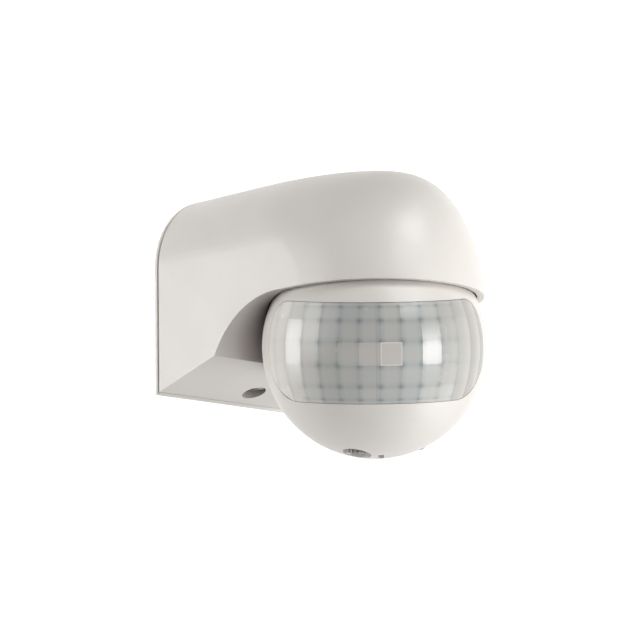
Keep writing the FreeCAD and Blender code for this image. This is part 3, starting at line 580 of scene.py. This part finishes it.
def cell_place(point, column, row):
    """Column and row numbers as a UV, kept inside the cell that the face belongs to."""
    edges = (-LENS_LATITUDE, *ROW_EDGES, LENS_LATITUDE)
    low, high = edges[row + 1], edges[row + 2]
    across = (point[0] - first_column) / COLUMN_PITCH
    across = min(max(across, column + CELL_MARGIN), column + 1 - CELL_MARGIN)
    part = (point[1] - low) / (high - low)
    return across, row + min(max(part, CELL_MARGIN), 1 - CELL_MARGIN)


def make_lens():
    """A thin moulded skin: five rows of nearly flat facets in a smooth border."""
    ends = (-LENS_LONGITUDE, LENS_LONGITUDE)
    longitudes = divided([ends[0], *column_edges, ends[1]], FACET_STEPS)
    latitudes = divided([-LENS_LATITUDE, *ROW_EDGES, LENS_LATITUDE], FACET_STEPS)
    outline = lens_outline()
    mesh = bpy.data.meshes.new("lens")
    form = bmesh.new()
    uv_layer = form.loops.layers.uv.new("cells")
    points = {}

    def vertex(point):
        key = (round(point[0], 5), round(point[1], 5))
        if key not in points:
            points[key] = form.verts.new(lens_point(*point))
        return points[key]

    for west, east in zip(longitudes, longitudes[1:]):
        for south, north in zip(latitudes, latitudes[1:]):
            polygon = [(west, south), (east, south), (east, north), (west, north)]
            for start, end in zip(outline, outline[1:] + outline[:1]):
                polygon = clipped(polygon, start, end)
                if len(polygon) < 3:
                    break
            corners = []
            for point in polygon:
                found = vertex(point)
                if found not in [corner[0] for corner in corners]:
                    corners.append((found, point))
            if len(corners) < 3:
                continue
            face = form.faces.new([corner[0] for corner in corners])
            face.smooth = True
            middle = ((west + east) / 2, (south + north) / 2)
            column = math.floor((middle[0] - first_column) / COLUMN_PITCH)
            row = sum(middle[1] > edge for edge in ROW_EDGES) - 1
            for loop, (found, point) in zip(face.loops, corners):
                loop[uv_layer].uv = cell_place(point, column, row)
    crease_cells(form, points)
    form.to_mesh(mesh)
    form.free()
    lens = bpy.data.objects.new("lens", mesh)
    scene.collection.objects.link(lens)
    skin = lens.modifiers.new("skin", "SOLIDIFY")
    skin.thickness = LENS_SKIN
    skin.offset = -1.0
    mesh.materials.append(lens_plastic())
    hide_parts("fresnel_lens")
    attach(lens, "head")


def crease_cells(form, points):
    """Marks the mesh's edges that lie on an edge between facets as sharp."""
    place = {found: key for key, found in points.items()}
    for edge in form.edges:
        ends = [place[found] for found in edge.verts]
        for axis, lines in ((0, column_edges), (1, ROW_EDGES)):
            for line in lines:
                if all(abs(end[axis] - line) < 1e-4 for end in ends):
                    edge.smooth = False


def lens_plastic():
    """Milky greenish plastic. It is opaque: all that shows through or in it is painted."""
    finish = Finish("lens_plastic")
    split = finish.node("SeparateXYZ")
    finish.put(split.inputs[0], finish.uv)
    across = split.outputs["X"]
    along = split.outputs["Y"]
    column = finish.math("FLOOR", across)
    row = finish.math("FLOOR", along)

    # tone of the whole cell
    joined = finish.node("CombineXYZ")
    finish.put(joined.inputs["X"], column)
    finish.put(joined.inputs["Y"], row)
    chance = finish.node("TexWhiteNoise", noise_dimensions="2D")
    finish.put(chance.inputs["Vector"], joined.outputs["Vector"])
    cool = (0.435, 0.45, 0.44)
    neutral = (0.47, 0.465, 0.445)
    cell = finish.mix(chance.outputs["Value"], cool, neutral)

    # the lens is paler towards its left end, and warmer towards its right end: partly its own
    # tone, partly painted reflected light
    from_middle = finish.math("ABSOLUTE", finish.math("SUBTRACT", across, 5.9))
    left_smooth = finish.span(across, 3.7, -0.3)
    left_end = finish.math("ADD", left_smooth, finish.span(column, 3.0, -0.2))
    right_smooth = finish.span(across, 8.0, 11.5)
    right_end = finish.math("ADD", right_smooth, finish.span(column, 7.5, 11.0))
    pale = finish.math("MULTIPLY", left_end, 0.58)
    warm = finish.math("MULTIPLY", right_end, 0.40)
    paler = finish.mix(pale, cell, (0.76, 0.73, 0.69))
    warmed = finish.mix(warm, paler, (0.42, 0.40, 0.375))
    # there each column is lighter along its outer side: a painted highlight
    outer_side = finish.math("POWER", finish.math("FRACT", across), 2.0)
    painted_side_highlight = finish.math("MULTIPLY", finish.math("MULTIPLY", right_end, outer_side), 0.38)
    body = finish.mix(painted_side_highlight, warmed, (0.68, 0.66, 0.62))

    # painted shade: darker bands between facets, darkest where they cross
    def edge(value, width):
        part = finish.math("FRACT", value)
        to_edge = finish.math("MINIMUM", part, finish.math("SUBTRACT", 1.0, part))
        near_edge = finish.span(to_edge, 0.0, width, 1.0, 0.0)
        return finish.math("POWER", near_edge, 1.2)

    # both fade towards the ends, the rows' edges most
    column_fade = finish.span(from_middle, 3.0, 6.0, 1.0, 0.5)
    columns = finish.math("MULTIPLY", edge(across, 0.27), column_fade)
    row_fade = finish.span(from_middle, 2.6, 4.6, 1.0, 0.1)
    rows = finish.math("MULTIPLY", edge(along, 0.28), row_fade)
    both = finish.math("MULTIPLY", columns, rows)
    bands = finish.math("MULTIPLY", finish.math("ADD", columns, rows), 0.21)
    dark = finish.math("ADD", bands, finish.math("MULTIPLY", both, 0.42))
    lined = finish.mix(dark, body, (0.15, 0.19, 0.20))

    # painted: the sensor as it shows through three of the middle facets, most through the last
    def is_near(value, middle, width):
        away = finish.math("ABSOLUTE", finish.math("SUBTRACT", value, middle))
        return finish.math("LESS_THAN", away, width)

    middle_row = is_near(row, 2.0, 0.5)
    strength = finish.span(column, 3.0, 6.0, 0.05, 1.0)
    three = finish.math("MULTIPLY", is_near(column, 5.0, 1.5), middle_row)
    shows = finish.math("MULTIPLY", three, strength)
    lit = finish.mix(shows, lined, (0.55, 0.52, 0.49))

    # a bright outline round the last of the three
    outline = finish.math("MAXIMUM", edge(across, 0.055), edge(along, 0.055))
    last = finish.math("MULTIPLY", is_near(column, 6.0, 0.5), middle_row)
    rimmed = finish.mix(finish.math("MULTIPLY", outline, last), lit, (0.85, 0.79, 0.73))

    # the moulding's seam, beside the middle line
    seam = finish.math("MULTIPLY", is_near(across, 5.8, 0.016), 0.35)
    finish.set(Base_Color=finish.mix(seam, rimmed, (0.25, 0.26, 0.26)))
    finish.set(Roughness=finish.span(finish.noise(9 * MM, 1.0), 0.2, 0.8, 0.24, 0.28))
    finish.set(Subsurface_Weight=0.25, Subsurface_Radius=(0.001, 0.001, 0.001))
    finish.set(Subsurface_Scale=1.0, IOR=1.54)
    finish.bump(finish.noise(5 * MM, 1.0), 0.006 * MM)
    return finish.material


make_lens()


# ---------------------------------------------------------------- floor

FLOOR_DROP = 0.35
FLOOR_HALF = 3.0


def make_floor():
    """A pale floor that glows a little, hidden from the object's diffuse light and shadows."""
    finish = Finish("floor")
    tone = finish.span(finish.noise(0.3, 2.0), 0.3, 0.7)
    finish.set(Base_Color=finish.mix(tone, (0.78, 0.775, 0.765), (0.82, 0.815, 0.80)))
    finish.set(Roughness=finish.span(finish.noise(0.05), 0.3, 0.7, 0.7, 0.9))
    finish.set(Emission_Color=(1.0, 0.99, 0.97), Emission_Strength=0.42)
    mesh = bpy.data.meshes.new("floor")
    height = ball_centre.z - FLOOR_DROP
    sides = ((-1, -1), (1, -1), (1, 1), (-1, 1))
    corners = [(x * FLOOR_HALF, y * FLOOR_HALF, height) for x, y in sides]
    mesh.from_pydata(corners, [], [(0, 1, 2, 3)])
    mesh.materials.append(finish.material)
    floor = bpy.data.objects.new("floor", mesh)
    scene.collection.objects.link(floor)
    floor.visible_diffuse = False
    floor.visible_shadow = False


make_floor()
